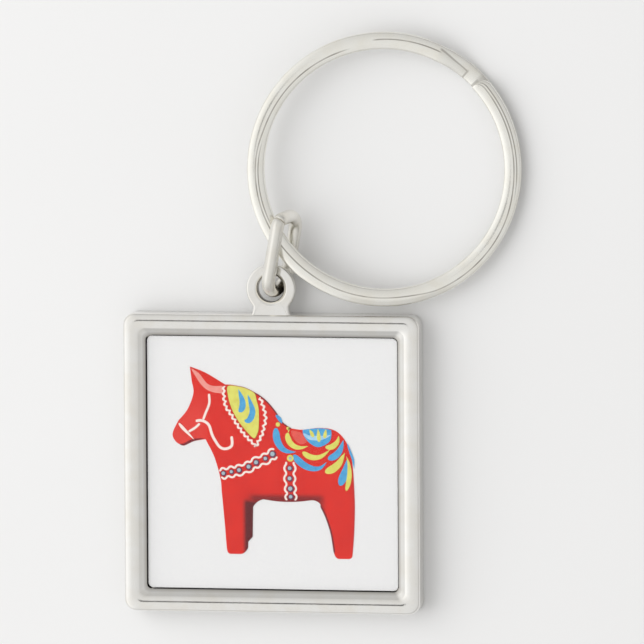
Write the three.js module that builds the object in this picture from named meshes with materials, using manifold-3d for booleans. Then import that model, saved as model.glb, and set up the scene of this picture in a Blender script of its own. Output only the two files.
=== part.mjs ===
// Keyring with a square cast case that carries a printed dala horse.
// Millimetres, +Z up. It lies flat and face up: the origin is the centre of the case's back face,
// +Y runs from the case to its eyelet, and +X is to the right of the picture.
import * as THREE from 'three';
import { mergeVertices } from 'three/addons/utils/BufferGeometryUtils.js';
import Module from 'manifold-3d';

const wasm = await Module();
wasm.setup();

// ---- driving dimensions ----
const caseSide = 35;
const caseHeight = 3.4;
const outerCorner = 1.4; // plan radius of the case's outer corners
const innerCorner = 0.6; // plan radius of the pocket's corners
const rimWidth = 2.4;
const footChamfer = 0.25;
const shoulderRadius = 0.4; // rounding between the outer wall and the rim's top
const crownDrop = 0.15; // how far the rim's top falls towards the outer wall
const creaseDrop = 0.1; // and how far it falls to the edge of the bevel
const softening = 0.03;
const bevelWidth = 0.7; // the rim's sloping inner edge
const bevelDrop = 0.5;
const lip = 0.1; // the rounding at the foot of the bevel
const pocketFloor = 1.0;

const padThickness = 0.3;
const padInset = 1.0;
const cardThickness = 1.0;
const pocketClearance = 0.3; // the narrow gap round the card
const inkThickness = 0.04;
const filmThickness = 0.14;
const filmTop = 2.6;

const eyelet = {
  y: 20.55,
  outer: 2.9,
  hole: 1.55,
  low: 1.72,
  high: 3.08,
  edgeChamfer: 0.25,
  holeChamfer: 0.4,
  neck: 2.1,
  foot: 2.35,
  root: 0.9, // how far it runs into the rim
};

const wireRadius = 0.78;
const link = { width: 4.2, reach: 7.11, corner: 0.85, seamGap: 0.06, lean: 11.85, rise: 12.1, roll: 69.4 };
const linkInHole = new THREE.Vector3(0.49, 20.31, 2.34); // wire centre where it passes the eyelet

const ring = { outer: 16, band: 2.0, coil: 0.76, gap: 0.04, tilt: 5.17, tiltToward: 10.4 };
const ringCentre = new THREE.Vector2(13.37, 34.62);
const ringRestGap = 0.06; // under the ring's lowest point
const topEndAngle = 43; // where the upper coil ends
const rampStart = 64; // where the wire starts down to the lower coil
const rampEnd = 47;
const lowEndAngle = 67; // where the lower coil ends

const pictureShift = new THREE.Vector2(-0.08, -0.18);

// ---- small helpers ----
const degrees = THREE.MathUtils.degToRad;

function metal(colour) {
  return new THREE.MeshStandardMaterial({ color: colour, metalness: 1, roughness: 0.18 });
}

function plain(colour, roughness) {
  return new THREE.MeshStandardMaterial({ color: colour, metalness: 0, roughness });
}

function toSolid(geometry) {
  const bare = geometry.clone();
  bare.deleteAttribute('normal');
  bare.deleteAttribute('uv');
  const merged = mergeVertices(bare, 1e-4);
  const vertProperties = new Float32Array(merged.attributes.position.array);
  const triVerts = new Uint32Array(merged.index.array);
  return new wasm.Manifold(new wasm.Mesh({ numProp: 3, vertProperties, triVerts }));
}

function toGeometry(solid) {
  const mesh = solid.getMesh();
  const geometry = new THREE.BufferGeometry();
  geometry.setAttribute('position', new THREE.BufferAttribute(new Float32Array(mesh.vertProperties), 3));
  geometry.setIndex(new THREE.BufferAttribute(new Uint32Array(mesh.triVerts), 1));
  geometry.computeVertexNormals();
  return geometry;
}

function named(name, geometry, material) {
  const mesh = new THREE.Mesh(geometry, material);
  mesh.name = name;
  return mesh;
}

// A square with rounded corners, centred on the origin.
function roundedSquare(halfSide, corner) {
  const flat = halfSide - corner;
  const shape = new THREE.Shape();
  shape.absarc(flat, flat, corner, 0, Math.PI / 2);
  shape.absarc(-flat, flat, corner, Math.PI / 2, Math.PI);
  shape.absarc(-flat, -flat, corner, Math.PI, Math.PI * 1.5);
  shape.absarc(flat, -flat, corner, Math.PI * 1.5, Math.PI * 2);
  return shape;
}

// A flat plate between two heights.
function plate(shape, low, high, curveSegments = 4) {
  const geometry = new THREE.ExtrudeGeometry(shape, { depth: high - low, bevelEnabled: false, curveSegments });
  geometry.translate(0, 0, low);
  return geometry;
}

// ---- case: one casting, a rimmed square tray with an eyelet ----
const half = caseSide / 2;
const pocketHalf = half - rimWidth;

// The wall section from the middle of the back face, round the rim, to the middle of the pocket.
function caseProfile() {
  const shoulder = [0, 30, 60, 90].map((angle) => {
    const turn = degrees(angle);
    const reach = half - shoulderRadius * (1 - Math.cos(turn));
    return new THREE.Vector2(reach, caseHeight - crownDrop - shoulderRadius * (1 - Math.sin(turn)));
  });
  const crownAt = half - rimWidth / 2;
  const creaseAt = pocketHalf + bevelWidth;
  const bevelFoot = caseHeight - creaseDrop - bevelDrop;
  return [
    new THREE.Vector2(0, 0),
    new THREE.Vector2(half - footChamfer, 0),
    new THREE.Vector2(half, footChamfer),
    ...shoulder,
    new THREE.Vector2((half - shoulderRadius + crownAt) / 2, caseHeight - softening),
    new THREE.Vector2(crownAt, caseHeight),
    new THREE.Vector2(creaseAt + lip, caseHeight - softening),
    new THREE.Vector2(creaseAt, caseHeight - creaseDrop),
    new THREE.Vector2(pocketHalf + lip, bevelFoot),
    new THREE.Vector2(pocketHalf, bevelFoot - lip),
    new THREE.Vector2(pocketHalf, pocketFloor),
    new THREE.Vector2(0, pocketFloor),
  ];
}

// A lathe that follows a rounded square: each profile point's reach becomes a half side.
function squareLathe(profile, cornerSteps) {
  const columns = 4 * (cornerSteps + 1);
  const geometry = new THREE.LatheGeometry(profile, columns);
  const position = geometry.attributes.position;
  for (let column = 0; column <= columns; column += 1) {
    const step = column % columns;
    const corner = Math.floor(step / (cornerSteps + 1));
    const turn = degrees(90 * (corner + (step % (cornerSteps + 1)) / cornerSteps));
    const outward = degrees(90 * corner + 45);
    profile.forEach((point, row) => {
      const fade = (half - point.x) / rimWidth;
      const wanted = THREE.MathUtils.lerp(outerCorner, innerCorner, Math.min(fade, 1));
      const radius = Math.min(wanted, point.x);
      const flat = (point.x - radius) * Math.SQRT2;
      const x = flat * Math.cos(outward) + radius * Math.cos(turn);
      const y = flat * Math.sin(outward) + radius * Math.sin(turn);
      position.setXYZ(column * profile.length + row, x, y, point.y);
    });
  }
  return geometry;
}

// The eyelet's outline in plan, drawn smaller by the chamfer that the extrusion adds back.
function eyeletShape() {
  const side = Math.sqrt(eyelet.outer ** 2 - eyelet.neck ** 2);
  const inset = eyelet.edgeChamfer;
  const footX = eyelet.foot - inset;
  const neckX = eyelet.neck - inset;
  const rootY = half - eyelet.root;
  const curveY = half + 0.35;
  const shape = new THREE.Shape();
  shape.moveTo(-footX, rootY);
  shape.lineTo(footX, rootY);
  shape.lineTo(footX, half - 0.1);
  shape.quadraticCurveTo(neckX, curveY, neckX, eyelet.y - side);
  const start = Math.atan2(-side, eyelet.neck);
  shape.absarc(0, eyelet.y, eyelet.outer - inset, start, Math.PI - start, false);
  shape.quadraticCurveTo(-neckX, curveY, -footX, half - 0.1);
  return shape;
}

// What the eyelet's hole takes out: a bore that flares at both faces.
function eyeletDrill() {
  const beyond = 0.2;
  const flare = eyelet.hole + eyelet.holeChamfer;
  const profile = [
    [0, eyelet.low - beyond],
    [flare, eyelet.low - beyond],
    [flare, eyelet.low],
    [eyelet.hole, eyelet.low + eyelet.holeChamfer],
    [eyelet.hole, eyelet.high - eyelet.holeChamfer],
    [flare, eyelet.high],
    [flare, eyelet.high + beyond],
    [0, eyelet.high + beyond],
  ];
  const drill = new THREE.LatheGeometry(profile.map(([x, z]) => new THREE.Vector2(x, z)), 32);
  drill.rotateX(Math.PI / 2);
  drill.translate(0, eyelet.y, 0);
  return drill;
}

function makeCase() {
  const tray = toSolid(squareLathe(caseProfile(), 6));
  const chamfer = eyelet.edgeChamfer;
  const depth = eyelet.high - eyelet.low - 2 * chamfer;
  const bevel = { bevelThickness: chamfer, bevelSize: chamfer, bevelSegments: 2 };
  const blank = new THREE.ExtrudeGeometry(eyeletShape(), { depth, curveSegments: 10, ...bevel });
  blank.translate(0, 0, eyelet.low + chamfer);
  return toGeometry(tray.add(toSolid(blank).subtract(toSolid(eyeletDrill()))));
}

// ---- what lies in the pocket ----
const padTop = pocketFloor + padThickness;
const cardTop = padTop + cardThickness;
const fillHalf = pocketHalf - pocketClearance;

// The horse in side view, facing left, drawn clockwise from the tip of its ear.
function horseShape() {
  const through = (pairs) => pairs.map(([x, y]) => new THREE.Vector2(x, y));
  const shape = new THREE.Shape();
  shape.moveTo(-9.65, 11.4);
  shape.splineThru(through([[-7.8, 10.7], [-5.5, 9.35]]));
  shape.splineThru(through([[-4.3, 9.25], [-2.4, 8.65], [-0.9, 7.75], [0.3, 6.45], [1.3, 5.0], [2.3, 4.3]]));
  shape.splineThru(through([[3.7, 4.15], [5.6, 4.4], [7.4, 4.15], [8.6, 3.1], [9.35, 1.4], [9.65, -1.0]]));
  shape.splineThru(through([[9.8, -4.5], [9.7, -8.0], [9.5, -10.5]]));
  shape.quadraticCurveTo(9.45, -10.95, 9.0, -10.95);
  shape.lineTo(7.9, -10.95);
  shape.quadraticCurveTo(7.45, -10.9, 7.3, -10.2);
  shape.splineThru(through([[7.0, -8.0], [6.4, -6.0], [5.75, -4.6]]));
  shape.quadraticCurveTo(5.4, -4.1, 4.7, -4.1);
  shape.splineThru(through([[3.0, -4.3], [1.0, -4.32], [-1.0, -4.08]]));
  shape.quadraticCurveTo(-1.8, -4.2, -2.25, -5.0);
  shape.lineTo(-2.32, -8.5);
  shape.lineTo(-2.85, -9.1);
  shape.lineTo(-2.87, -9.8);
  shape.quadraticCurveTo(-3.2, -10.5, -3.75, -10.55);
  shape.lineTo(-4.95, -10.55);
  shape.quadraticCurveTo(-5.35, -10.5, -5.4, -9.8);
  shape.splineThru(through([[-5.65, -6.6], [-5.95, -3.3], [-6.1, -1.7], [-6.8, 0.8], [-7.85, 2.9]]));
  shape.splineThru(through([[-9.3, 2.62], [-10.4, 2.08]]));
  shape.splineThru(through([[-11.3, 2.5], [-11.75, 3.5], [-11.05, 5.05]]));
  shape.splineThru(through([[-9.95, 6.4], [-9.25, 8.3], [-9.45, 9.8], [-9.65, 11.4]]));
  return shape;
}

// ---- connecting link: a loop of round wire, open at its seam ----
// The wire's centre line. The far end has a tight corner beside the seam and a wide one across from it.
function linkOutline() {
  const bend = link.width / 2;
  const cornerX = bend - link.corner;
  const cornerY = link.reach - link.corner;
  const outline = new THREE.Path();
  outline.absarc(cornerX, cornerY, link.corner, 0, Math.PI / 2);
  outline.lineTo(0, link.reach);
  outline.absarc(0, link.reach - bend, bend, Math.PI / 2, Math.PI);
  outline.lineTo(-bend, 0);
  outline.absarc(0, 0, bend, Math.PI, Math.PI * 2);
  outline.lineTo(bend, cornerY - link.seamGap);
  return outline;
}

class LinkPath extends THREE.Curve {
  constructor() {
    super();
    this.outline = linkOutline();
  }

  getPoint(t, target = new THREE.Vector3()) {
    const { x, y } = this.outline.getPoint(t);
    return target.set(x, y, 0);
  }
}

// The link's own axes: Y along its length, X from its lower strand to its upper one.
function linkFrame() {
  const lean = degrees(link.lean);
  const rise = degrees(link.rise);
  const roll = degrees(link.roll);
  const level = Math.cos(rise);
  const along = new THREE.Vector3(Math.sin(lean) * level, Math.cos(lean) * level, Math.sin(rise));
  const side = new THREE.Vector3(0, 0, 1).cross(along).normalize();
  const above = new THREE.Vector3().crossVectors(along, side);
  const across = side.multiplyScalar(Math.cos(roll)).addScaledVector(above, Math.sin(roll));
  return new THREE.Matrix4().makeBasis(across, along, new THREE.Vector3().crossVectors(across, along));
}

function makeLink() {
  const section = new THREE.Shape();
  section.absarc(0, 0, wireRadius, 0, Math.PI * 2);
  const wire = new THREE.ExtrudeGeometry(section, { steps: 72, curveSegments: 6, extrudePath: new LinkPath() });
  const holder = new THREE.Group();
  holder.quaternion.setFromRotationMatrix(linkFrame());
  const toBend = new THREE.Vector3(0, link.width / 2, 0).applyQuaternion(holder.quaternion);
  holder.position.copy(linkInHole).add(toBend);
  holder.add(named('connecting_link', wire, metal('#dedcd6')));
  return holder;
}

// ---- split ring: one flat wire wound twice, stepping down once between its coils ----
class SplitRingPath extends THREE.Curve {
  getPoint(t, target = new THREE.Vector3()) {
    const sweep = 720 - (lowEndAngle - topEndAngle);
    const travelled = t * sweep;
    const angle = degrees(topEndAngle - travelled);
    const radius = ring.outer - ring.band / 2;
    const pitch = ring.coil + ring.gap;
    const rampFrom = 360 - (rampStart - topEndAngle);
    const rampLength = rampStart - rampEnd;
    const down = THREE.MathUtils.smoothstep(travelled, rampFrom, rampFrom + rampLength);
    return target.set(radius * Math.cos(angle), radius * Math.sin(angle), pitch * (0.5 - down));
  }

  // Frames that keep the wire's flat side level, so it doesn't twist on the ramp.
  computeFrenetFrames(segments) {
    const frames = { tangents: [], normals: [], binormals: [] };
    const up = new THREE.Vector3(0, 0, 1);
    for (let i = 0; i <= segments; i += 1) {
      const tangent = this.getTangentAt(i / segments);
      const inward = new THREE.Vector3().crossVectors(tangent, up).normalize();
      frames.tangents.push(tangent);
      frames.normals.push(new THREE.Vector3().crossVectors(inward, tangent));
      frames.binormals.push(inward);
    }
    return frames;
  }
}

// The wire's section: flat faces that round into its edges.
function ringSection() {
  const corners = 14;
  const square = 0.75; // below 1 squares the ellipse off
  const points = [];
  for (let i = 0; i < corners; i += 1) {
    const turn = (2 * Math.PI * (i + 0.5)) / corners;
    const across = Math.sign(Math.cos(turn)) * Math.abs(Math.cos(turn)) ** square;
    const wide = Math.sign(Math.sin(turn)) * Math.abs(Math.sin(turn)) ** square;
    points.push(new THREE.Vector2((ring.coil / 2) * across, (ring.band / 2) * wide));
  }
  return new THREE.Shape(points);
}

function makeRing() {
  const options = { steps: 136, extrudePath: new SplitRingPath() };
  const coil = new THREE.ExtrudeGeometry(ringSection(), options);
  const holder = new THREE.Group();
  const toward = degrees(ring.tiltToward);
  const tiltAxis = new THREE.Vector3(-Math.sin(toward), Math.cos(toward), 0);
  const tilt = degrees(ring.tilt);
  holder.quaternion.setFromAxisAngle(tiltAxis, tilt);
  const halfStack = ring.coil + ring.gap / 2;
  const crown = ring.outer - ring.band / 2; // the wire is thickest here
  const lift = crown * Math.sin(tilt) + halfStack * Math.cos(tilt) + ringRestGap;
  holder.position.set(ringCentre.x, ringCentre.y, lift);
  holder.add(named('split_ring', coil, metal('#dedcd6')));
  return holder;
}

// ---- assembly ----
const keyring = new THREE.Group();
keyring.add(named('case', makeCase(), metal('#e2e1dc')));

const padHalf = pocketHalf - padInset;
const padPlate = plate(roundedSquare(padHalf, innerCorner), pocketFloor, padTop);
keyring.add(named('adhesive_pad', padPlate, plain('#e8e6dd', 0.9)));

const fill = roundedSquare(fillHalf, innerCorner);
keyring.add(named('print_card', plate(fill, padTop, cardTop), plain('#f4f4f4', 0.6)));

const ink = named('ink_horse', plate(horseShape(), cardTop, cardTop + inkThickness, 3), plain('#dc3228', 0.5));
ink.position.set(pictureShift.x, pictureShift.y, 0);
keyring.add(ink);

const film = plain('#ffffff', 0.1);
film.transparent = true;
film.opacity = 0.15;
keyring.add(named('clear_film', plate(fill, filmTop - filmThickness, filmTop), film));

keyring.add(makeLink());
keyring.add(makeRing());

export default keyring;
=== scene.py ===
"""Looks for the dala horse keyring: plated case, link and ring, and a printed horse under clear film."""

import math

import bmesh
import bpy
import numpy as np
from mathutils import Matrix, Quaternion, Vector


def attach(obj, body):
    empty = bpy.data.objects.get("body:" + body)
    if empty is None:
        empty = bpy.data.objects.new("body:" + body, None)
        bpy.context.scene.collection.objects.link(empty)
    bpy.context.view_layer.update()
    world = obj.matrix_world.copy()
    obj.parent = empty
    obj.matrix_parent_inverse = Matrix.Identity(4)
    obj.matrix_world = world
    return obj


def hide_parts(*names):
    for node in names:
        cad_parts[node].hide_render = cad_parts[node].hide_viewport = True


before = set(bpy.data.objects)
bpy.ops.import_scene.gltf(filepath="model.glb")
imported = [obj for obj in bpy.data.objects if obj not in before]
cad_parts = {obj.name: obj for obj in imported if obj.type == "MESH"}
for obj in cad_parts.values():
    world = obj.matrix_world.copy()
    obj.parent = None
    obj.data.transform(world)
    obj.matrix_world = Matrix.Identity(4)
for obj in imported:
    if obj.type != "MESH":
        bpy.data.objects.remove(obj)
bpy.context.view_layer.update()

MM = 0.001

# ---- sizes, in millimetres, as in the CAD part ----
HALF = 17.5
HEIGHT = 3.4
OUTER_CORNER = 1.4
INNER_CORNER = 0.6
RIM = 2.4
POCKET = HALF - RIM
POCKET_FLOOR = 1.0
BEVEL_WIDTH = 0.7
BEVEL_DROP = 0.5
CROWN_RADIUS = 2.6
CROWN_INSET = 0.97
CREASE_DROP = 0.1
LIP = 0.1
FOOT_REACH = 0.17  # how far the bevel's foot reaches in over the clearance round the film

EYE_Y = 20.55
EYE_OUTER = 2.9
EYE_HOLE = 1.55
EYE_LOW = 1.72
EYE_HIGH = 3.08
EYE_EDGE = 0.25
EYE_FLARE = 0.4
EYE_NECK = 2.1
EYE_FOOT = 2.35
EYE_ROOT = 0.9

WIRE = 0.78
LINK_WIDTH = 4.2
LINK_REACH = 7.11
LINK_CORNER = 0.85
LINK_SEAM = 0.06
SEAM_TURN = 46.0  # degrees round the link's tight corner to its seam
LINK_LEAN = 11.85
LINK_RISE = 12.1
LINK_ROLL = 69.4
LINK_IN_HOLE = Vector((0.49, 20.31, 2.34))

RING_OUTER = 16.0
RING_BAND = 2.0
RING_COIL = 0.76
RING_GAP = 0.04
RING_TILT = 5.17
RING_TOWARD = 10.4
RING_CENTRE = (13.37, 34.62)
RING_REST_GAP = 0.06
TOP_END = 43.0
RAMP_START = 64.0
RAMP_END = 47.0
LOW_END = 67.0
RAMP_FROM = 360 - (RAMP_START - TOP_END)  # degrees of travel from the upper end

INK_TOP = 2.34
PICTURE_SHIFT = (-0.08, -0.18)


# ---- mesh helpers ----
def add_object(name, verts, faces, smooth=True, scale=MM):
    """A mesh object from points in millimetres."""
    mesh = bpy.data.meshes.new(name)
    mesh.from_pydata([Vector(v) * scale for v in verts], [], faces)
    mesh.polygons.foreach_set("use_smooth", [smooth] * len(mesh.polygons))
    obj = bpy.data.objects.new(name, mesh)
    bpy.context.scene.collection.objects.link(obj)
    return obj


def grid_faces(rows, columns, close_rows=False, close_columns=True):
    """Quads over a grid of points stored row by row."""
    faces = []
    for r in range(rows if close_rows else rows - 1):
        for c in range(columns if close_columns else columns - 1):
            r2 = (r + 1) % rows
            c2 = (c + 1) % columns
            faces.append((r * columns + c, r * columns + c2, r2 * columns + c2, r2 * columns + c))
    return faces


def arc(cx, cy, radius, start, end, steps):
    """Points on a circle's arc, angles in degrees."""
    turns = [math.radians(start + (end - start) * i / steps) for i in range(steps + 1)]
    return [(cx + radius * math.cos(t), cy + radius * math.sin(t)) for t in turns]


def smoothstep(value, low, high):
    t = min(max((value - low) / (high - low), 0.0), 1.0)
    return t * t * (3 - 2 * t)


def recalc_outside(obj):
    """Turns a closed mesh's faces outwards."""
    bm = bmesh.new()
    bm.from_mesh(obj.data)
    bmesh.ops.recalc_face_normals(bm, faces=bm.faces)
    bm.to_mesh(obj.data)
    bm.free()


# ---- case: one casting, a rimmed square tray with an eyelet ----
def bend(start, control, end, steps):
    """Points on a quadratic curve."""
    points = []
    for i in range(steps + 1):
        t = i / steps
        weights = ((1 - t) ** 2, 2 * t * (1 - t), t * t)
        points.append(
            tuple(weights[0] * s + weights[1] * c + weights[2] * e for s, c, e in zip(start, control, end))
        )
    return points


def case_profile():
    """The wall section as (reach, height), from the back face's edge to the pocket floor's edge."""
    foot = 0.25
    tilt_out = 14.5  # how far the crown leans outwards where the shoulder takes over
    tilt_in = 11.0  # and inwards at the crease
    crease = POCKET + BEVEL_WIDTH
    crown_at = HALF - CROWN_INSET
    points = arc(HALF - foot, foot, foot, -90, 0, 6)
    crown = arc(crown_at, HEIGHT - CROWN_RADIUS, CROWN_RADIUS, 90 - tilt_out, 90 + tilt_in, 12)
    meet_x, meet_z = crown[0]
    lean = math.radians(90 - tilt_out)
    shoulder = (HALF - meet_x) / (1 - math.cos(lean))
    points += arc(HALF - shoulder, meet_z - shoulder * math.sin(lean), shoulder, 0, 90 - tilt_out, 12)
    points += crown[1:]
    foot_z = HEIGHT - CREASE_DROP - BEVEL_DROP
    start = points.pop()
    run = math.tan(math.radians(tilt_in)) * (start[0] - crease)
    points += bend(start, (crease, start[1] - run), (crease - 0.1, HEIGHT - CREASE_DROP - 0.08), 8)
    wall = POCKET - FOOT_REACH
    foot_start = (POCKET + LIP + 0.05, foot_z + 0.05)
    points += bend(foot_start, (wall + 0.14, foot_z - 0.08), (wall, foot_z - 0.18), 6)
    points.append((wall, POCKET_FLOOR))
    return points


def square_loop(reach, z, steps=10):
    """A rounded square, one point list round it."""
    fade = min(max((HALF - reach) / RIM, 0.0), 1.0)
    radius = OUTER_CORNER + (INNER_CORNER - OUTER_CORNER) * fade
    flat = reach - radius
    loop = []
    for corner, (sx, sy) in enumerate(((1, 1), (-1, 1), (-1, -1), (1, -1))):
        for x, y in arc(sx * flat, sy * flat, radius, 90 * corner, 90 * corner + 90, steps):
            loop.append((x, y, z))
    return loop


def make_tray():
    profile = case_profile()
    loops = [square_loop(reach, z) for reach, z in profile]
    count = len(loops[0])
    verts = [point for loop in loops for point in loop]
    faces = grid_faces(len(loops), count)
    faces.append(tuple(reversed(range(count))))
    last = (len(loops) - 1) * count
    faces.append(tuple(range(last, last + count)))
    return add_object("case_casting", verts, faces, scale=1.0)


def eyelet_outline():
    """The eyelet's outline in plan, anticlockwise from the right end of its root."""
    side = math.sqrt(EYE_OUTER**2 - EYE_NECK**2)
    start = math.degrees(math.atan2(-side, EYE_NECK))
    right = [(EYE_FOOT, HALF - EYE_ROOT), (EYE_FOOT, HALF - 0.4)]
    right += bend((EYE_FOOT, HALF - 0.1), (EYE_NECK, HALF + 0.35), (EYE_NECK, EYE_Y - side - 0.12), 10)
    left = [(-x, y) for x, y in reversed(right)]
    ring = arc(0, EYE_Y, EYE_OUTER, start + 3, 177 - start, 56)
    root = [(-EYE_FOOT + EYE_FOOT * i / 3, HALF - EYE_ROOT) for i in range(1, 6)]
    return right + ring + left + root


def eyelet_levels():
    """Pairs of height and inset: outer edge and hole edge, from the low face to the high one."""
    steps = 6
    flat = 0.04  # a narrow level strip that keeps the faces' shading flat
    outer = [(EYE_LOW, EYE_EDGE + flat)]
    for i in range(steps + 1):
        turn = math.radians(90 * i / steps)
        outer.append((EYE_LOW + EYE_EDGE * (1 - math.cos(turn)), EYE_EDGE * (1 - math.sin(turn))))
    hole = [(EYE_LOW, EYE_FLARE + flat)]
    for out, down in bend((EYE_FLARE, 0.0), (0.16, 0.05), (0.0, 0.3), steps):
        hole.append((EYE_LOW + down, out))
    mirror = EYE_LOW + EYE_HIGH
    outer += [(mirror - z, inset) for z, inset in reversed(outer)]
    hole += [(mirror - z, inset) for z, inset in reversed(hole)]
    return outer, hole


def make_eyelet():
    outline = eyelet_outline()
    count = len(outline)
    normals = []
    for i in range(count):
        before, after = outline[i - 1], outline[(i + 1) % count]
        edge = Vector((after[0] - before[0], after[1] - before[1])).normalized()
        normals.append((edge.y, -edge.x))
    outer, hole = eyelet_levels()
    verts = []
    for z, inset in outer:
        verts += [(x - nx * inset, y - ny * inset, z) for (x, y), (nx, ny) in zip(outline, normals)]
    for z, inset in reversed(hole):
        reach = EYE_HOLE + inset
        for x, y in outline:
            turn = math.atan2(y - EYE_Y, x)
            verts.append((reach * math.cos(turn), EYE_Y + reach * math.sin(turn), z))
    faces = grid_faces(len(outer) + len(hole), count, close_rows=True)
    return add_object("eyelet_tool", verts, faces, scale=1.0)


def make_case(metal):
    tray = make_tray()
    eyelet = make_eyelet()
    recalc_outside(tray)
    recalc_outside(eyelet)
    union = tray.modifiers.new("join_eyelet", "BOOLEAN")
    union.operation = "UNION"
    union.solver = "MANIFOLD"
    union.object = eyelet
    apply_modifiers(tray)
    tray.data.transform(Matrix.Scale(MM, 4))
    bpy.data.objects.remove(eyelet)
    tray.data.set_sharp_from_angle(angle=math.radians(32))
    finish_piece(tray, "case", metal, "case_metal", "case")
    return tray


def apply_modifiers(obj):
    """Keeps the modified mesh and drops the modifiers."""
    depsgraph = bpy.context.evaluated_depsgraph_get()
    made = bpy.data.meshes.new_from_object(obj.evaluated_get(depsgraph))
    obj.modifiers.clear()
    obj.data = made


def finish_piece(obj, body, material, slot, *nodes):
    """Gives a piece its material and body, and hides the CAD nodes that it stands for. The slot argument is
    not used.
    """
    obj.data.materials.clear()
    obj.data.materials.append(material)
    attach(obj, body)
    if nodes:
        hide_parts(*nodes)


# ---- connecting link: a loop of round wire, open at its seam ----
def link_axes():
    lean, rise, roll = (math.radians(v) for v in (LINK_LEAN, LINK_RISE, LINK_ROLL))
    level = math.cos(rise)
    along = Vector((math.sin(lean) * level, math.cos(lean) * level, math.sin(rise)))
    side = Vector((0, 0, 1)).cross(along).normalized()
    above = along.cross(side)
    across = side * math.cos(roll) + above * math.sin(roll)
    return across, along, across.cross(along)


def link_path():
    """Points, directions and draw-in depths along the link's centre line, from one cut end to the other."""
    r = LINK_WIDTH / 2
    corner_x, corner_y = r - LINK_CORNER, LINK_REACH - LINK_CORNER
    cut = ((0.0, 0.12), (0.035, 0.04), (0.12, 0.0))  # travel from a cut end, and how far the wire draws in
    clear = 12  # degrees beside each cut that hold only the cut's own rings
    path = []

    def turn_about(x, y, radius, start, end, steps, depths=()):
        turns = [(start + (end - start) * i / steps, 0.0) for i in range(steps + 1)]
        for turn, depth in sorted(turns + list(depths)):
            c, s = math.cos(math.radians(turn)), math.sin(math.radians(turn))
            path.append(((x + radius * c, y + radius * s), (-s, c), depth))

    def straight(x, low, high, steps):
        way = 1 if high > low else -1
        path.extend(((x, low + (high - low) * i / steps), (0, way), 0.0) for i in range(1, steps))

    def cut_turns(seam, way):
        return [(seam + way * math.degrees(travel / LINK_CORNER), depth) for travel, depth in cut]

    after = SEAM_TURN + math.degrees(LINK_SEAM / LINK_CORNER)
    turn_about(corner_x, corner_y, LINK_CORNER, after + clear, 90, 10, cut_turns(after, 1))
    path.extend(((corner_x * (1 - i / 4), LINK_REACH), (-1, 0), 0.0) for i in range(1, 4))
    turn_about(0, LINK_REACH - r, r, 90, 180, 26)
    straight(-r, LINK_REACH - r, 0, 12)
    turn_about(0, 0, r, 180, 360, 52)
    straight(r, 0, corner_y, 14)
    turn_about(corner_x, corner_y, LINK_CORNER, 0, SEAM_TURN - clear, 10, cut_turns(SEAM_TURN, -1))
    return path


def make_link(metal):
    across, along, through = link_axes()
    centre = LINK_IN_HOLE + along * (LINK_WIDTH / 2)
    sides = 32
    rings = []
    for point, way, depth in link_path():
        origin = centre + across * point[0] + along * point[1]
        outward = across * way[1] - along * way[0]
        for i in range(sides):
            turn = 2 * math.pi * i / sides
            rings.append(origin + (outward * math.cos(turn) + through * math.sin(turn)) * (WIRE - depth))
    faces = grid_faces(len(rings) // sides, sides)
    faces.append(tuple(reversed(range(sides))))
    faces.append(tuple(range(len(rings) - sides, len(rings))))
    link = add_object("link_wire", rings, faces)
    recalc_outside(link)
    link.data.set_sharp_from_angle(angle=math.radians(50))
    finish_piece(link, "link", metal, "wire_metal", "connecting_link")
    return link


# ---- split ring: one flat wire wound twice, stepping down once between its coils ----
def ring_section(count=30):
    """The wire's section as (outwards, up) shares of its half sizes."""
    points = []
    for i in range(count):
        turn = 2 * math.pi * (i + 0.5) / count
        c, s = math.cos(turn), math.sin(turn)
        points.append((math.copysign(abs(c) ** 1.1, c), math.copysign(abs(s) ** 0.95, s)))
    return points


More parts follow.
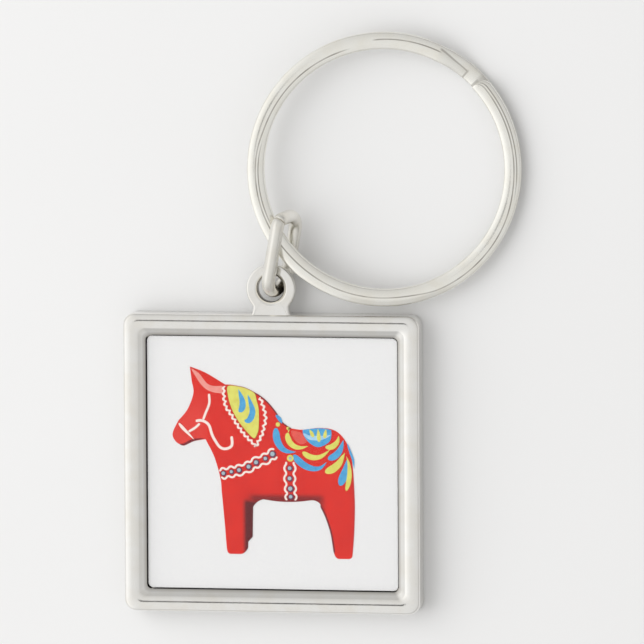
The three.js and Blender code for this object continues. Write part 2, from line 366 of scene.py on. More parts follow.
def make_ring(metal):
    tilt = math.radians(RING_TILT)
    toward = math.radians(RING_TOWARD)
    axis = Vector((-math.sin(toward), math.cos(toward), 0))
    turned = Quaternion(axis, tilt).to_matrix()
    half_stack = RING_COIL + RING_GAP / 2
    crown = RING_OUTER - RING_BAND / 2
    lift = crown * math.sin(tilt) + half_stack * math.cos(tilt) + RING_REST_GAP
    centre = Vector((RING_CENTRE[0], RING_CENTRE[1], lift))
    sweep = 720 - (LOW_END - TOP_END)
    ramp_length = RAMP_START - RAMP_END
    section = ring_section()
    steps = 460
    rounding = 4.0  # degrees of travel over which each end draws in towards the ring's inner edge
    travels = [rounding * share for share in (0, 0.03, 0.1, 0.22, 0.4, 0.65, 1.0)]
    travels += [rounding + (sweep - 2 * rounding) * i / steps for i in range(1, steps)]
    travels += [sweep - rounding * share for share in (1.0, 0.65, 0.4, 0.22, 0.1, 0.03, 0)]
    verts, marks = [], []
    for travelled in travels:
        angle = math.radians(TOP_END - travelled)
        down = smoothstep(travelled, RAMP_FROM, RAMP_FROM + ramp_length)
        ridge = 4 * down * (1 - down)  # the wire's crown sharpens where it is bent down
        from_end = min(min(travelled, sweep - travelled) / rounding, 1.0)
        wide = 0.3 + 0.7 * math.sqrt(1 - (1 - from_end) ** 2)
        high = 0.5 + 0.5 * math.sqrt(1 - (1 - min(from_end * 2, 1)) ** 2)
        z = (RING_COIL + RING_GAP) * (0.5 - down)
        for out, up in section:
            marks += [out, up, travelled]
            out = math.copysign(abs(out) ** (1 + 0.4 * ridge), out)
            reach = crown + (out * wide - (1 - wide)) * RING_BAND / 2
            height = z + up * high * RING_COIL / 2
            point = Vector((reach * math.cos(angle), reach * math.sin(angle), height))
            verts.append(centre + turned @ point)
    count = len(section)
    faces = grid_faces(len(travels), count)
    faces.append(tuple(reversed(range(count))))
    faces.append(tuple(range(len(verts) - count, len(verts))))
    ring = add_object("ring_coils", verts, faces)
    ring.data.attributes.new("wire", "FLOAT_VECTOR", "POINT").data.foreach_set("vector", marks)
    recalc_outside(ring)
    ring.data.set_sharp_from_angle(angle=math.radians(60))
    finish_piece(ring, "split_ring", metal, "wire_metal", "split_ring")
    return ring


# ---- printed picture ----
def between(a, b, c, d, steps):
    """Points from b towards c on the smooth curve that passes through a, b, c and d."""
    points = []
    for step in range(steps):
        t = step / steps
        cubic = (2 * a - 5 * b + 4 * c - d) * t**2 + (3 * b - a - 3 * c + d) * t**3
        points.append(0.5 * (2 * b + (c - a) * t + cubic))
    return points


def spline(points, steps=8):
    """A smooth curve through the points."""
    ends = [np.array(point, float) for point in (points[0], *points, points[-1])]
    curve = []
    for i in range(len(ends) - 3):
        curve += between(*ends[i : i + 4], steps)
    return np.array(curve + [ends[-1]])


def closed_spline(points, steps=8):
    """A smooth closed curve through the points."""
    loop = [np.array(point, float) for point in points]
    curve = []
    for i in range(len(loop)):
        curve += between(loop[i - 1], loop[i], loop[(i + 1) % len(loop)], loop[(i + 2) % len(loop)], steps)
    return np.array(curve)


class Layer:
    """Flat printed shapes of one ink, gathered into one thin mesh between two heights."""

    def __init__(self, name, low, high):
        self.name, self.low, self.high = name, low, high
        self.verts, self.faces = [], []

    def place(self, points, z):
        return [(x + PICTURE_SHIFT[0], y + PICTURE_SHIFT[1], z) for x, y in points]

    def area(self, outline):
        """A filled outline."""
        count, base = len(outline), len(self.verts)
        self.verts += self.place(outline, self.low) + self.place(outline, self.high)
        self.faces.append(tuple(base + i for i in reversed(range(count))))
        self.faces.append(tuple(base + count + i for i in range(count)))
        for i in range(count):
            j = (i + 1) % count
            self.faces.append((base + i, base + j, base + count + j, base + count + i))

    def ribbon(self, centre, widths, sway=None):
        """A stroke of changing width along a line of points."""
        centre = np.array(centre, float)
        tangent = np.gradient(centre, axis=0)
        tangent /= np.maximum(np.linalg.norm(tangent, axis=1), 1e-9)[:, None]
        normal = np.stack([-tangent[:, 1], tangent[:, 0]], 1)
        if sway is not None:
            centre = centre + normal * np.array(sway)[:, None]
        reach = normal * (np.array(widths, float) / 2)[:, None]
        left, right = centre + reach, centre - reach
        self.area(list(map(tuple, right)) + list(map(tuple, left[::-1])))

    def line(self, points, width, sway=None):
        """A stroke of even width with round ends."""
        curve = spline(points)
        travel = np.concatenate([[0], np.cumsum(np.linalg.norm(np.diff(curve, axis=0), axis=1))])
        from_end = np.minimum(travel, travel[-1] - travel) / (width / 2)
        widths = width * np.sqrt(np.clip(1 - (1 - np.clip(from_end, 0, 1)) ** 2, 0.02, 1))
        self.ribbon(curve, widths, None if sway is None else sway(travel))

    def chain(self, centres, width, wide, narrow):
        """Two wavy strokes that swell round each bead and draw together between beads."""
        centres = np.array(centres, float)
        steps = 10
        share = np.arange((len(centres) - 1) * steps + 1) / steps
        middle = spline(centres, steps)
        tangent = np.gradient(middle, axis=0)
        tangent /= np.linalg.norm(tangent, axis=1)[:, None]
        normal = np.stack([-tangent[:, 1], tangent[:, 0]], 1)
        reach = narrow + (wide - narrow) * np.abs(np.cos(math.pi * share)) ** 0.8
        kept = (share > 0.35) & (share < len(centres) - 1.45)
        for side in (1, -1):
            self.line((middle + side * normal * reach[:, None])[kept][::2], width)

    def petal(self, points, fat, fat_at=0.22):
        """A brush stroke: a round head that draws out to a thin tail."""
        curve = spline(points)
        travel = np.concatenate([[0], np.cumsum(np.linalg.norm(np.diff(curve, axis=0), axis=1))])
        t = travel / travel[-1]
        head = np.sqrt(np.clip(1 - ((fat_at - t) / fat_at) ** 2, 0, 1))
        tail = np.clip(np.cos(0.5 * math.pi * (t - fat_at) / (1 - fat_at)), 0, 1) ** 0.8
        self.ribbon(curve, np.maximum(fat * np.where(t < fat_at, head, tail), 0.04))

    def dot(self, x, y, radius, squash=1.0):
        turns = [2 * math.pi * i / 20 for i in range(20)]
        self.area([(x + radius * math.cos(t), y + squash * radius * math.sin(t)) for t in turns])

    def build(self, material):
        obj = add_object(self.name, self.verts, self.faces, smooth=False)
        finish_piece(obj, "case", material, "ink")
        return obj


def horse_outline():
    """The horse in side view, facing left, clockwise from the tip of its ear."""
    outline = [(-9.65, 11.4)]

    def through(*points):
        outline.extend(map(tuple, spline([outline[-1], *points])[1:]))

    def curve(control, end):
        outline.extend(bend(outline[-1], control, end, 8)[1:])

    through((-7.8, 10.7), (-5.5, 9.35))
    through((-4.3, 9.25), (-2.4, 8.65), (-0.9, 7.75), (0.3, 6.45), (1.3, 5.0), (2.3, 4.3))
    through((3.7, 4.15), (5.6, 4.4), (7.4, 4.15), (8.6, 3.1), (9.35, 1.4), (9.65, -1.0))
    through((9.8, -4.5), (9.7, -8.0), (9.5, -10.5))
    curve((9.45, -10.95), (9.0, -10.95))
    outline.append((7.9, -10.95))
    curve((7.45, -10.9), (7.3, -10.2))
    through((7.0, -8.0), (6.4, -6.0), (5.75, -4.6))
    curve((5.4, -4.1), (4.7, -4.1))
    through((3.0, -4.3), (1.0, -4.32), (-1.0, -4.08))
    curve((-1.8, -4.2), (-2.25, -5.0))
    outline += [(-2.32, -8.5), (-2.85, -9.1), (-2.87, -9.8)]
    curve((-3.2, -10.5), (-3.75, -10.55))
    outline.append((-4.95, -10.55))
    curve((-5.35, -10.5), (-5.4, -9.8))
    through((-5.65, -6.6), (-5.95, -3.3), (-6.1, -1.7), (-6.8, 0.8), (-7.85, 2.9))
    through((-9.3, 2.62), (-10.4, 2.08))
    through((-11.3, 2.5), (-11.75, 3.5), (-11.05, 5.05))
    through((-9.95, 6.4), (-9.25, 8.3), (-9.45, 9.8), (-9.65, 11.4))
    return outline[:-1]


def print_horse(inks):
    horse = Layer("print_horse", 2.3, INK_TOP)
    horse.area(horse_outline())
    piece = horse.build(inks["body"])
    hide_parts("ink_horse")

    edge = Layer("print_edge_shade", 2.343, 2.349)
    edge.line([(-4.3, 9.2), (-2.4, 8.6), (-0.9, 7.7), (0.3, 6.4), (1.3, 4.95), (2.3, 4.27)], 0.14)
    edge.line([(5.75, -4.7), (6.4, -6.05), (7.02, -8.0), (7.38, -10.3)], 0.2)
    edge.petal([(-10.9, 2.28), (-10.4, 2.25), (-9.3, 2.76), (-8.0, 2.98)], 0.3, 0.4)
    edge.build(inks["edge"])

    ear = Layer("print_ear_light", 2.35, 2.356)
    upper = [(-9.45, 11.2), (-8.6, 10.65), (-8.05, 9.95), (-7.55, 9.4), (-6.8, 9.15), (-5.8, 9.2)]
    lower = [(-5.85, 8.3), (-6.8, 8.4), (-7.7, 8.75), (-8.4, 9.4), (-9.0, 10.3), (-9.4, 10.95)]
    ear.area(list(map(tuple, spline(upper))) + list(map(tuple, spline(lower))))
    ear.build(inks["pink"])


def print_bridle(inks):
    straps = Layer("print_bridle", 2.36, 2.37)
    straps.petal([(-11.0, 4.75), (-10.5, 4.15), (-9.9, 3.55), (-9.2, 2.85)], 0.36, 0.25)
    straps.line([(-7.4, 8.25), (-7.35, 7.3), (-7.5, 6.7), (-7.8, 6.0), (-8.1, 5.2)], 0.28)
    rein = [(-9.0, 5.0), (-8.5, 5.1), (-8.0, 5.0), (-7.6, 4.75), (-7.35, 4.4), (-7.2, 3.9), (-7.0, 3.3)]
    rein += [(-6.6, 2.6), (-6.2, 2.05), (-5.7, 1.8), (-5.2, 1.85), (-4.8, 2.1), (-4.68, 2.5), (-4.75, 3.3)]
    straps.line(rein, 0.32)
    straps.line([(-8.5, 4.75), (-9.1, 4.2), (-9.85, 3.75)], 0.28)
    straps.build(inks["white"])


def print_mane(inks):
    leaf = [(-5.15, 9.2), (-3.8, 9.15), (-2.9, 8.9), (-2.0, 8.4), (-1.75, 7.6), (-1.5, 6.5), (-1.5, 4.5)]
    leaf += [(-1.65, 3.7), (-2.1, 3.05), (-3.1, 4.0), (-4.1, 5.3), (-4.8, 6.7), (-5.2, 8.2)]
    outline = closed_spline(leaf)
    middle = outline.mean(axis=0)
    rim = Layer("print_mane_edge", 2.351, 2.357)
    rim.area(list(map(tuple, middle + (outline - middle) * 1.01)))
    rim.build(inks["brown"])
    mane = Layer("print_mane", 2.359, 2.366)
    mane.area(list(map(tuple, middle + (outline - middle) * 0.985)))
    mane.build(inks["yellow"])
    strokes = Layer("print_mane_strokes", 2.369, 2.377)
    strokes.petal([(-3.85, 6.15), (-3.5, 6.6), (-3.42, 7.3), (-3.65, 8.1), (-3.9, 8.8)], 0.74, 0.25)
    long_stroke = [(-3.2, 5.15), (-2.75, 5.15), (-2.4, 5.6), (-2.25, 6.3), (-2.45, 7.1), (-2.8, 8.2)]
    strokes.petal(long_stroke, 0.72, 0.25)
    strokes.build(inks["blue"])


def scallops(pitch, height):
    """The sideways sway of a lace edge along its length."""
    return lambda travel: height * (np.abs(np.sin(math.pi * travel / pitch)) - 0.5)


def print_lace(inks):
    lace = Layer("print_lace", 2.38, 2.388)
    front = [(-5.6, 9.2), (-5.6, 8.0), (-5.5, 7.3), (-5.35, 6.7), (-5.0, 6.2), (-4.6, 5.6), (-4.2, 4.9)]
    front += [(-3.5, 3.9), (-2.8, 3.1), (-2.2, 2.55), (-1.9, 2.1)]
    back = [(-1.9, 2.1), (-1.6, 2.7), (-1.1, 3.7), (-0.95, 4.4), (-0.75, 5.2), (-0.8, 6.0), (-1.0, 6.8)]
    back += [(-1.2, 7.4), (-1.4, 7.9)]
    lace.line(front, 0.3, scallops(0.62, -0.27))
    lace.line(back, 0.3, scallops(0.66, -0.27))
    lace.build(inks["white"])


def print_chest_chain(inks):
    beads = [(-5.72, -1.1, 0.34), (-4.77, -0.9, 0.3), (-3.86, -0.7, 0.36), (-2.72, -0.28, 0.38)]
    beads += [(-1.83, 0.24, 0.37), (-0.73, 0.7, 0.33), (0.12, 1.24, 0.42)]
    lines = Layer("print_chest_lines", 2.372, 2.38)
    centres = [(-6.3, -1.25)] + [bead[:2] for bead in beads] + [(0.9, 1.55)]
    lines.chain(centres, 0.24, 0.64, 0.3)
    lines.build(inks["white"])
    print_beads("print_chest_beads", beads, inks["bead"], inks)


def print_beads(name, beads, centre_ink, inks):
    """Round beads: a dark rim under a pale centre."""
    rims = Layer(name + "_rim", 2.384, 2.391)
    centres = Layer(name, 2.394, 2.401)
    for x, y, radius in beads:
        rims.dot(x, y, radius)
        centres.dot(x - 0.03, y + 0.03, radius * 0.62)
    rims.build(inks["bead_rim"])
    centres.build(centre_ink)


def print_girth(inks):
    lines = Layer("print_girth_lines", 2.372, 2.38)
    beads = [(2.15, -0.4, 0.35), (2.13, -1.6, 0.36), (2.2, -2.8, 0.4), (2.25, -3.75, 0.33)]
    centres = [(2.15, 0.75)] + [bead[:2] for bead in beads] + [(2.25, -4.6)]
    lines.chain(centres, 0.24, 0.66, 0.32)
    lines.build(inks["white"])
    print_beads("print_girth_beads", beads, inks["bead"], inks)
    top = Layer("print_girth_top", 2.384, 2.391)
    top.dot(2.2, 0.8, 0.4)
    top.build(inks["yellow"])
    heart = Layer("print_girth_heart", 2.394, 2.401)
    heart.dot(2.2, 0.8, 0.19)
    heart.build(inks["bead"])


def print_saddle(inks):
    glow = Layer("print_saddle_glow", 2.35, 2.356)
    patch = closed_spline([(2.35, 4.0), (3.6, 3.75), (4.2, 2.9), (3.55, 2.45), (2.75, 2.95)])
    glow.area(list(map(tuple, patch)))
    glow.build(inks["pink_red"])
    seat = Layer("print_saddle", 2.372, 2.38)
    under = [(3.68, 4.15), (3.75, 3.6), (4.2, 2.9), (4.8, 2.4)]
    under += [(5.5, 2.15), (6.3, 2.4), (6.9, 2.9), (7.1, 3.6)]
    over = [(7.12, 4.15), (6.4, 4.33), (5.5, 4.37), (4.5, 4.27), (3.68, 4.15)]
    seat.area(list(map(tuple, spline(under))) + list(map(tuple, spline(over)[1:-1])))
    seat.build(inks["blue"])
    shine = Layer("print_saddle_shine", 2.381, 2.385)
    shine.petal([(3.75, 3.75), (4.4, 3.3), (5.4, 3.2), (6.4, 3.35), (7.0, 3.6)], 0.55, 0.5)
    shine.build(inks["pale_blue"])
    buds = Layer("print_saddle_buds", 2.387, 2.394)
    buds.petal([(4.95, 3.3), (4.75, 3.75), (4.5, 4.2)], 0.42, 0.35)
    buds.petal([(5.62, 2.75), (5.58, 3.4), (5.5, 4.25)], 0.46, 0.35)
    buds.petal([(6.25, 3.2), (6.35, 3.7), (6.45, 4.25)], 0.42, 0.35)
    buds.build(inks["yellow"])


def print_petals(inks):
    blue = Layer("print_petals_blue", 2.36, 2.368)
    blue.petal([(0.5, 5.85), (0.9, 5.45), (1.25, 4.85)], 0.44, 0.5)
    blue.petal([(0.5, 4.35), (0.6, 3.1), (0.9, 2.35), (1.4, 1.8), (2.1, 1.55), (2.85, 1.55)], 0.86, 0.26)
    blue.petal([(2.55, 1.2), (3.3, 0.4), (4.1, -0.15), (5.0, -0.4), (5.8, -0.25), (6.5, 0.4)], 0.82)
    blue.petal([(6.65, 0.75), (7.5, 1.15), (8.1, 1.85), (8.5, 3.0)], 0.8, 0.28)
    blue.petal([(8.05, -2.35), (8.5, -1.2), (8.8, -0.3), (8.95, 0.8)], 0.95, 0.3)
    blue.petal([(8.95, 2.6), (9.3, 1.6), (9.62, 0.7), (9.75, -0.3)], 0.26, 0.5)
    blue.build(inks["blue"])
    yellow = Layer("print_petals_yellow", 2.37, 2.378)
    yellow.petal([(1.95, 3.8), (1.9, 3.3), (2.2, 2.6), (2.8, 2.15), (3.5, 2.05), (4.3, 2.25)], 0.68, 0.26)
    yellow.petal([(2.1, 4.5), (2.05, 4.1), (1.95, 3.8)], 0.16, 0.5)
    yellow.petal([(3.65, 1.55), (4.4, 1.05), (5.2, 0.9), (6.0, 1.15), (6.9, 1.85)], 0.66)
    yellow.petal([(6.35, 2.15), (7.1, 2.2), (7.75, 2.75), (7.95, 3.5)], 0.66, 0.35)
    yellow.petal([(6.3, -0.8), (7.2, -0.4), (7.9, 0.2), (8.35, 0.95), (8.65, 1.5)], 0.9, 0.28)
    yellow.petal([(8.8, -2.95), (9.1, -1.8), (9.2, -0.8), (9.1, 0.3), (8.85, 1.1)], 0.58, 0.3)
    for x, y, radius in ((0.75, 4.75, 0.26), (1.95, 4.3, 0.2)):
        yellow.dot(x, y, radius)
    yellow.build(inks["yellow"])


# ---- materials ----
def srgb(red, green, blue):
    """A display colour, 0 to 255 each, as linear light."""
    linear = [((v / 255 + 0.055) / 1.055) ** 2.4 if v > 10 else v / 255 / 12.92 for v in (red, green, blue)]
    return (*linear, 1.0)


class Nodes:
    """A material's node tree, with short calls for the nodes that the materials here use."""

    def __init__(self, name):
        self.material = bpy.data.materials.new(name)
        self.material.use_nodes = True
        self.tree = self.material.node_tree
        self.shader = next(n for n in self.tree.nodes if n.type == "BSDF_PRINCIPLED")
        self.output = next(n for n in self.tree.nodes if n.type == "OUTPUT_MATERIAL")

    def add(self, kind, **values):
        node = self.tree.nodes.new(kind)
        for key, value in values.items():
            setattr(node, key, value)
        return node

    def link(self, source, target):
        self.tree.links.new(source, target)

    def place(self, scale=(1000.0, 1000.0, 1000.0)):
        """The position on the piece, in millimetres unless scaled otherwise."""
        where = self.add("ShaderNodeTexCoord")
        mapping = self.add("ShaderNodeMapping")
        mapping.inputs["Scale"].default_value = scale
        self.link(where.outputs["Object"], mapping.inputs["Vector"])
        return mapping.outputs["Vector"]

    def noise(self, scale, detail=3.0, where=None, roughness=0.5):
        node = self.add("ShaderNodeTexNoise")
        node.inputs["Scale"].default_value = scale
        node.inputs["Detail"].default_value = detail
        node.inputs["Roughness"].default_value = roughness
        self.link(where or self.place(), node.inputs["Vector"])
        return node.outputs["Fac"]

    def span(self, value, low, high, out_low=0.0, out_high=1.0, smooth=False):
        """Maps a range of values to another, clamped."""
        node = self.add("ShaderNodeMapRange", interpolation_type="SMOOTHSTEP" if smooth else "LINEAR")
        node.inputs["From Min"].default_value = low
        node.inputs["From Max"].default_value = high
        node.inputs["To Min"].default_value = out_low
        node.inputs["To Max"].default_value = out_high
        self.link(value, node.inputs["Value"])
        return node.outputs["Result"]

    def math(self, operation, a, b):
        node = self.add("ShaderNodeMath", operation=operation)
        for socket, value in zip(node.inputs, (a, b)):
            if isinstance(value, (int, float)):
                socket.default_value = value
            else:
                self.link(value, socket)
        return node.outputs["Value"]

    def curve(self, value, points, reach):
        """A smooth curve through (value, result) points: values from 0 to reach, results from -1 to 1."""
        node = self.add("ShaderNodeFloatCurve")
        mapping = node.mapping
        mapping.clip_min_y = -1.0
        line = mapping.curves[0]
        line.points[0].location = (points[0][0] / reach, points[0][1])
        line.points[1].location = (points[-1][0] / reach, points[-1][1])
        for at, result in points[1:-1]:
            line.points.new(at / reach, result)
        mapping.update()
        self.link(self.math("DIVIDE", value, reach), node.inputs["Value"])
        return node.outputs["Value"]

    def mix(self, factor, first, second):
        node = self.add("ShaderNodeMix", data_type="RGBA")
        self.link(factor, node.inputs["Factor"])
        for socket, value in ((node.inputs[6], first), (node.inputs[7], second)):
            if isinstance(value, tuple):
                socket.default_value = value
            else:
                self.link(value, socket)
        return node.outputs[2]

    def bump(self, height, strength, distance):
        node = self.add("ShaderNodeBump")
        node.inputs["Strength"].default_value = strength
        node.inputs["Distance"].default_value = distance
        self.link(height, node.inputs["Height"])
        self.link(node.outputs["Normal"], self.shader.inputs["Normal"])


def plated_metal(name, colour, smooth, rough, grain, painted_shade=None):
    """Bright plating: fine directional polish marks, faint cloudiness and a slight colour change; an
    optional mask mixes painted shade and painted dark reflections into the colour.
    """
    m = Nodes(name)
    m.shader.inputs["Metallic"].default_value = 1.0
    cloud = m.noise(0.45, 4.0)
    warm = tuple(c * f for c, f in zip(colour, (0.97, 0.955, 0.925, 1.0)))
    base = m.mix(m.span(cloud, 0.4, 0.7), colour, warm)
    if painted_shade:
        # Painted shade: the mask darkens the plating towards a dark brown-grey.
        base = m.mix(painted_shade(m), base, srgb(100, 92, 80))
    m.link(base, m.shader.inputs["Base Color"])
    marks = m.noise(1.0, 4.0, m.place(grain), 0.6)
    m.link(m.span(marks, 0.3, 0.75, smooth, rough), m.shader.inputs["Roughness"])
    m.bump(m.noise(7.0, 3.0), 0.06, 0.00003)
    return m.material


def case_painted_shade(m):
    """Painted shade on the case: at the foot of the bevel, where the pocket's corner lies in shadow, and
    inside the eyelet's bore.
    """
    split = m.add("ShaderNodeSeparateXYZ")
    m.link(m.place(), split.inputs[0])
    x, y, z = split.outputs
    across = m.math("MAXIMUM", m.math("ABSOLUTE", x, 0.0), m.math("ABSOLUTE", y, 0.0))
    inside = m.span(across, POCKET + BEVEL_WIDTH, POCKET + BEVEL_WIDTH - 0.1)
    # Painted shade: the bevel's foot darkens downwards towards the film's edge.
    foot = m.math("MULTIPLY", m.span(z, 2.9, 2.64, 0.0, 0.5), inside)
    up = m.math("SUBTRACT", y, EYE_Y)
    reach = m.math("SQRT", m.math("ADD", m.math("MULTIPLY", x, x), m.math("MULTIPLY", up, up)), 0.0)
    # Painted shade: the eyelet's bore darkens below its top edge.
    below = m.span(z, EYE_HIGH - 0.2, EYE_HIGH - 0.3)
    bore = m.math("MULTIPLY", m.span(reach, EYE_HOLE + 0.1, EYE_HOLE + 0.02), below)
    return m.math("MAXIMUM", foot, bore)


# The painted dark reflection line along the wire's crown, and its wander: degrees of travel from the upper
# end, and shares of half the band outwards.
CROWN_REFLECTION_LINE = (
    (0, 0.15), (43, 0.18), (75, 0.4), (105, 0.38), (128, 0.0), (150, 0.02), (178, -0.08),
    (205, 0.02), (223, 0.0), (245, -0.3), (268, -0.36), (298, -0.4), (306, 0.1), (330, 0.23), (360, 0.2),
)


def ring_painted_reflections_and_shade(m):
    """Painted dark reflection lines along the ring's wire, and painted shade where its ends and coils
    overlap, from its across, up and travel marks.
    """
    marks = m.add("ShaderNodeAttribute", attribute_name="wire")
    split = m.add("ShaderNodeSeparateXYZ")
    m.link(marks.outputs["Vector"], split.inputs[0])
    out, up, travel = split.outputs

    def line(at, half_width):
        off = m.math("ABSOLUTE", m.math("SUBTRACT", out, at), 0.0)
        return m.span(off, half_width, half_width * 0.3)

    def during(start, end, fade):
        return m.math("MULTIPLY", m.span(travel, start - fade, start), m.span(travel, end + fade, end))

    # Painted dark reflection: a thin line that wanders along the wire's crown, with a second and a third
    # line beside it in places.
    crown = m.curve(travel, CROWN_REFLECTION_LINE, 360.0)
    shown = m.math("MAXIMUM", during(3.0, 290.0, 8.0), during(310.0, 338.0, 2.0))
    uneven = m.span(m.noise(0.35, 2.0), 0.4, 0.6, 0.6, 1.0)
    level = m.math("MULTIPLY", m.math("MULTIPLY", line(crown, 0.1), shown), uneven)
    second = m.math("MULTIPLY", line(m.math("SUBTRACT", crown, 0.32), 0.08), during(205.0, 225.0, 12.0))
    third = m.math("MULTIPLY", line(m.math("ADD", crown, 0.32), 0.08), during(4.0, 45.0, 12.0))
    # Painted reflection: the outer half darkens where it faces the case.
    low = m.math("MULTIPLY", during(112.0, 142.0, 14.0), m.span(out, 0.2, 0.5, 0.0, 0.28))
    fold_end = RAMP_FROM + 14
    under_tip = 360.0  # where the wire passes under its own upper end
    slant = m.span(travel, RAMP_FROM - 2, fold_end, 0.62, 0.0)
    bent = during(RAMP_FROM, fold_end, 1.0)
    # Painted reflection: a dark line slants across the ramp where the wire steps down, with painted shade on
    # the inner part beside it.
    ramp_reflection_line = m.math("MULTIPLY", m.math("MULTIPLY", line(slant, 0.18), bent), 0.7)
    inwards = m.math("SUBTRACT", slant, out)
    inner = m.math("MULTIPLY", m.span(inwards, 0.0, 0.9, 0.25, 0.05), bent)
    inner = m.math("MULTIPLY", inner, m.span(inwards, -0.05, 0.05))
    # Painted shade: dark marks at the ramp's foot, just before the upper end and on the lower coil under
    # that end.
    step_at = during(fold_end + 0.2, fold_end + 0.6, 0.5)
    step = m.math("MULTIPLY", step_at, m.span(out, 0.3, 0.0, 0.0, 0.6))
    gap_at = during(under_tip - 0.8, under_tip, 0.6)
    gap = m.math("MULTIPLY", gap_at, m.span(out, 0.4, 0.0, 0.0, 0.6))
    under_at = during(under_tip, under_tip + 4, 2.0)
    under = m.math("MULTIPLY", under_at, m.span(out, -0.2, 0.2, 0.0, 0.4))
    dark = level
    for part in (second, third, low, ramp_reflection_line, inner, step, gap, under):
        dark = m.math("MAXIMUM", dark, part)
    dark = m.math("MULTIPLY", dark, m.span(up, 0.2, 0.5, 0.0, 0.72))
    # Painted shade: the outer faces that look into the gap between the two coils darken near the upper end.
    facing = m.math("MULTIPLY", up, m.span(travel, 345, 365, -1.0, 1.0))
    seam = m.math("MULTIPLY", m.span(facing, 0.25, 0.6, 0.0, 0.7), m.span(out, 0.4, 0.7))
    return m.math("MAXIMUM", dark, seam)


def printed_ink(name, colour, second=None, speck=0.06):
    """Flat printed ink with a faint uneven tone."""
    m = Nodes(name)
    darker = tuple(c * (1 - 2.2 * speck) for c in colour[:3]) + (1.0,)
    tone = m.noise(1.6, 4.0)
    base = m.mix(m.span(tone, 0.35, 0.7), colour, second or darker)
    grain = m.span(m.noise(14.0, 2.0), 0.35, 0.65, 0.0, 0.35)
    m.link(m.mix(grain, base, darker), m.shader.inputs["Base Color"])
    m.shader.inputs["Roughness"].default_value = 0.55
    m.shader.inputs["Specular IOR Level"].default_value = 0.25
    return m.material


def horse_ink():
    """The horse's red, shaded to maroon on the far leg and under the belly."""
    m = Nodes("ink_body")
    where = m.place()
    split = m.add("ShaderNodeSeparateXYZ")
    m.link(where, split.inputs[0])
    x, y = split.outputs["X"], split.outputs["Y"]
    tone = m.span(m.noise(0.5, 3.0, where), 0.35, 0.7)
    red = m.mix(tone, srgb(222, 40, 28), srgb(212, 34, 24))
    neck = m.math("MULTIPLY", m.span(x, -7.0, -8.8, smooth=True), m.span(y, 9.5, 5.0, smooth=True))
    red = m.mix(m.math("MULTIPLY", neck, 0.3), red, srgb(236, 92, 84))
    rear = m.span(x, 9.2, 9.75, 0.0, 0.55, smooth=True)
    red = m.mix(rear, red, srgb(178, 44, 50))
    far_leg = m.math("MULTIPLY", m.span(x, -3.75, -3.05, smooth=True), m.span(y, -3.9, -4.8, smooth=True))
    far_leg = m.math("MULTIPLY", far_leg, m.span(x, 0.5, -0.5))
    belly = m.span(y, -3.35, -4.15, 0.0, 0.8, smooth=True)
    belly = m.math("MULTIPLY", belly, m.span(x, 6.6, 5.3, smooth=True))
    belly = m.math("MULTIPLY", belly, m.span(x, -3.4, -2.0, smooth=True))
    dark = m.math("MAXIMUM", far_leg, belly)
    shaded = m.mix(dark, red, srgb(84, 26, 32))
    grain = m.span(m.noise(14.0, 2.0, where), 0.35, 0.65, 0.0, 0.12)
    m.link(m.mix(grain, shaded, srgb(190, 44, 42)), m.shader.inputs["Base Color"])
    m.shader.inputs["Roughness"].default_value = 0.55
    m.shader.inputs["Specular IOR Level"].default_value = 0.25
    return m.material


def white_card():
    m = Nodes("card_white")
    tone = m.span(m.noise(3.0, 4.0), 0.35, 0.7)
    m.link(m.mix(tone, srgb(235, 235, 235), srgb(232, 232, 233)), m.shader.inputs["Base Color"])
    m.shader.inputs["Roughness"].default_value = 0.6
    m.shader.inputs["Specular IOR Level"].default_value = 0.2
    m.bump(m.noise(9.0, 3.0), 0.05, 0.00002)
    return m.material


def foam_tape():
    m = Nodes("pad_foam")
    cells = m.noise(6.0, 3.0)
    tone = m.mix(m.span(cells, 0.35, 0.7), srgb(226, 222, 210), srgb(206, 202, 190))
    m.link(tone, m.shader.inputs["Base Color"])
    m.shader.inputs["Roughness"].default_value = 0.9
    m.bump(cells, 0.3, 0.0001)
    return m.material


def clear_film():
    """A thin clear layer: it lets everything through and only mirrors a little."""
    m = Nodes("film_clear")
    m.tree.nodes.remove(m.shader)
    through = m.add("ShaderNodeBsdfTransparent")
    gloss = m.add("ShaderNodeBsdfGlossy")
    gloss.inputs["Roughness"].default_value = 0.12
    fresnel = m.add("ShaderNodeFresnel")
    fresnel.inputs["IOR"].default_value = 1.4
    facing = m.add("ShaderNodeNewGeometry")
    outside = m.math("SUBTRACT", 1.0, facing.outputs["Backfacing"])
    blend = m.add("ShaderNodeMixShader")
    m.link(m.math("MULTIPLY", fresnel.outputs[0], outside), blend.inputs[0])
    m.link(through.outputs[0], blend.inputs[1])
    m.link(gloss.outputs[0], blend.inputs[2])
    m.link(blend.outputs[0], m.output.inputs["Surface"])
    return m.material


def table_white():
    m = Nodes("floor_white")
    tone = m.span(m.noise(0.02, 2.0), 0.3, 0.7)
    m.link(m.mix(tone, (0.808, 0.808, 0.808, 1), (0.818, 0.818, 0.818, 1)), m.shader.inputs["Base Color"])
    m.shader.inputs["Roughness"].default_value = 0.8
    m.shader.inputs["Specular IOR Level"].default_value = 0.1
    return m.material


def set_material(node, material):
    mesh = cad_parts[node].data
    mesh.materials.clear()
    mesh.materials.append(material)


# ---- studio ----
LENS = 800.0
FRAME_WIDTH = 75.15
TO_RIGHT = 9.8  # degrees that the camera stands to the right
TO_TOP = 6.0
ROLL = 0.3
LOOK_AT = (5.55, 16.4)
GAP_AT = (-9.8, 0.5)  # degrees from straight up, to the right and to the top: the opening over the table
GAP_RADIUS = 3.2
KEY_PLACE = (-0.44, 0.14, 0.40)  # metres
KEY_LOOK = (0.0, 0.01, 0.0)
KEY_SIZE = (0.8, 0.8)
KEY_POWER = 2.5  # watts


